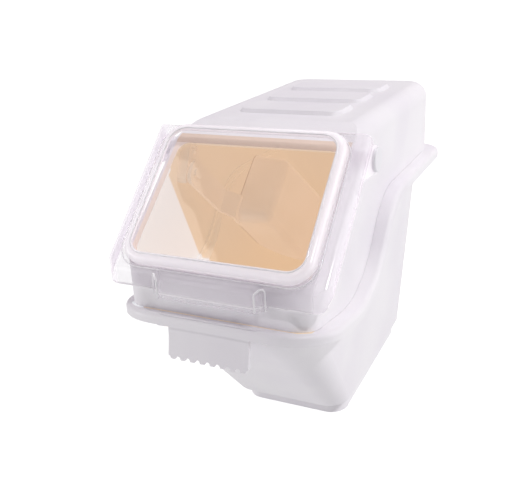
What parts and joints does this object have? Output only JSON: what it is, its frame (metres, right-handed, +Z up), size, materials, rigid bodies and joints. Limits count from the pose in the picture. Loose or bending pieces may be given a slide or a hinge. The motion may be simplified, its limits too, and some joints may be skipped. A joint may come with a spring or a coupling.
{
  "type": "pet food bin",
  "caption": "Shelf bin for dry pet food: tapered tub with a stepped rim and finger pull, lift-off hood, clear flip-up front door and a scoop hung on a peg inside.",
  "frame": {"origin": "middle of the footprint of the whole bin, on the shelf under the plinth", "axes": "+X across the width to the right as seen from the front, -Y towards the front with the door, +Z up"},
  "size_m": [0.2496, 0.503, 0.3792],
  "materials": {
    "white_plastic": "white satin polyethylene, slightly translucent",
    "clear_plastic": "clear glossy polycarbonate",
    "pin_plastic": "natural glossy plastic",
    "scoop_plastic": "white satin plastic"
  },
  "bodies": {
    "tub": {"storage_tub": "white_plastic"},
    "hood_body": {"hood": "white_plastic", "left_pivot_pin": "pin_plastic", "right_pivot_pin": "pin_plastic", "scoop_hanger": "white_plastic"},
    "door": {"clear_door": "clear_plastic"},
    "loose_scoop": {"scoop": "scoop_plastic"}
  },
  "joints": [
    {"name": "hood_lift", "type": "slide", "parent": "tub", "child": "hood_body", "axis": [0, 0, 1], "range_m": [0, 0.12]},
    {"name": "door_hinge", "type": "hinge", "parent": "hood_body", "child": "door", "pos_m": [0, -0.0959, 0.3453], "axis": [-1, 0, 0], "range_deg": [0, 50]},
    {"name": "scoop_off", "type": "slide", "parent": "hood_body", "child": "loose_scoop", "axis": [1, 0, 0], "range_m": [0, 0.03]}
  ]
}
